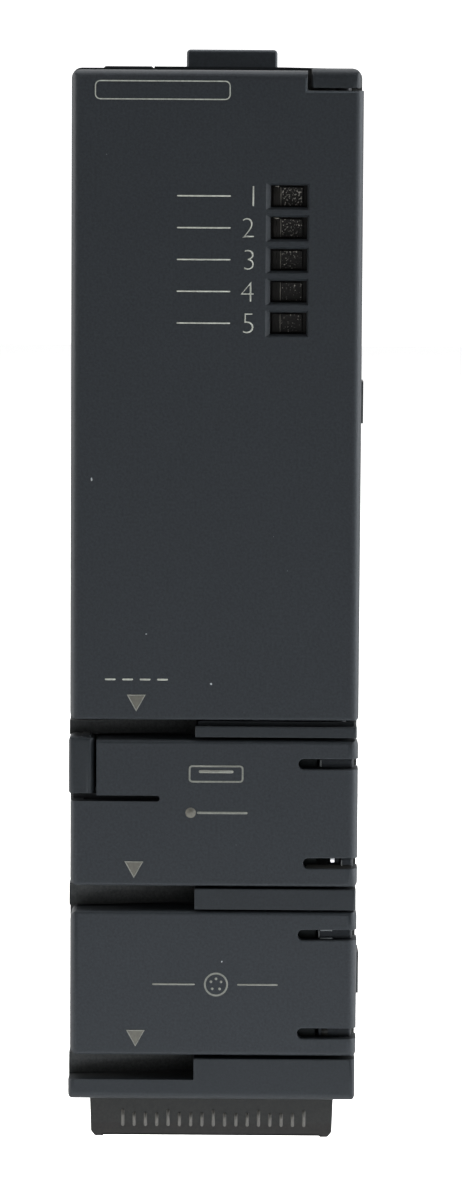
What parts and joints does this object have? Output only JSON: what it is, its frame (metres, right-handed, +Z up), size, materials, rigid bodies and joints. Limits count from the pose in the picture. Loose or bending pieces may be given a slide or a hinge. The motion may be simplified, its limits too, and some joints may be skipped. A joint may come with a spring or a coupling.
{
  "type": "plc module",
  "caption": "Slim rack-mounted controller module with hinged port doors, indicator windows, battery door and a sprung fixing hook.",
  "frame": {"origin": "centre of the rear mounting face, at mid width and mid height of the case", "axes": "+X to the right seen from the front, +Y from the front towards the rack it is mounted on, +Z up"},
  "size_m": [0.0278, 0.0939, 0.1058],
  "materials": {
    "case_plastic": "fine moulded texture, satin",
    "smoked_window": "smooth, smoked",
    "steel": "plated, satin",
    "can_aluminium": "drawn can, satin",
    "gold_plate": "plated, bright",
    "board_laminate": "solder resist, satin",
    "chip_resin": "moulded, matt",
    "black_resin": "moulded, satin",
    "ivory_resin": "moulded, satin",
    "label_foil": "printed film, satin",
    "battery_sleeve": "shrink sleeve, glossy",
    "red_insulation": "extruded, satin",
    "black_insulation": "extruded, satin",
    "led_resin": "clear moulded body"
  },
  "bodies": {
    "module": {"front_case": "case_plastic", "main_case": "case_plastic", "side_cover": "case_plastic", "rating_label": "label_foil", "led_lens": "smoked_window", "hook_pin": "steel", "hook_spring": "steel", "main_board": "board_laminate", "sub_board": "board_laminate", "board_screw_1": "steel", "board_screw_2": "steel", "processor_chip": "chip_resin", "bus_chip": "chip_resin", "memory_chip_1": "chip_resin", "memory_chip_2": "chip_resin", "oscillator": "steel", "power_chip": "chip_resin", "power_inductor": "black_resin", "capacitor_1": "can_aluminium", "capacitor_2": "can_aluminium", "board_link_socket": "ivory_resin", "board_link_header": "black_resin", "led_1": "led_resin", "led_2": "led_resin", "led_3": "led_resin", "led_4": "led_resin", "led_5": "led_resin", "mode_switch_body": "black_resin", "usb_port_shell": "steel", "usb_port_tongue": "black_resin", "serial_port_housing": "black_resin", "serial_port_shield": "steel", "serial_port_insert": "black_resin", "bus_connector": "black_resin", "bus_contacts_left": "gold_plate", "bus_contacts_right": "gold_plate", "battery_cell": "battery_sleeve", "battery_cradle": "black_resin", "battery_header": "ivory_resin", "battery_plug": "ivory_resin", "battery_lead_red": "red_insulation", "battery_lead_black": "black_insulation"},
    "front_cover": {"front_cover": "case_plastic"},
    "usb_cover": {"usb_cover": "case_plastic"},
    "serial_cover": {"serial_cover": "case_plastic"},
    "battery_cover": {"battery_cover": "case_plastic"},
    "fixing_hook": {"fixing_hook": "case_plastic"},
    "mode_switch": {"mode_switch_lever": "ivory_resin"}
  },
  "joints": [
    {"name": "front_cover_hinge", "type": "hinge", "parent": "module", "child": "front_cover", "pos_m": [0.0119, -0.0872, 0], "axis": [0, 0, 1], "range_deg": [0, 110]},
    {"name": "usb_cover_hinge", "type": "hinge", "parent": "module", "child": "usb_cover", "pos_m": [0.0119, -0.0872, -0.0214], "axis": [0, 0, 1], "range_deg": [0, 110]},
    {"name": "serial_cover_hinge", "type": "hinge", "parent": "module", "child": "serial_cover", "pos_m": [0.0119, -0.0872, -0.0378], "axis": [0, 0, 1], "range_deg": [0, 110]},
    {"name": "battery_cover_hinge", "type": "hinge", "parent": "module", "child": "battery_cover", "pos_m": [0, -0.0318, -0.0502], "axis": [1, 0, 0], "range_deg": [0, 80]},
    {"name": "fixing_hook_pivot", "type": "hinge", "parent": "module", "child": "fixing_hook", "pos_m": [0.001, -0.022, 0.0459], "axis": [-1, 0, 0], "range_deg": [0, 7], "stiffness_Nm_per_rad": 0.2, "springref_deg": -5.73, "deforming": ["hook_spring"]},
    {"name": "mode_switch_slide", "type": "slide", "parent": "module", "child": "mode_switch", "axis": [0, 0, 1], "range_m": [-0.0016, 0.0016]}
  ]
}
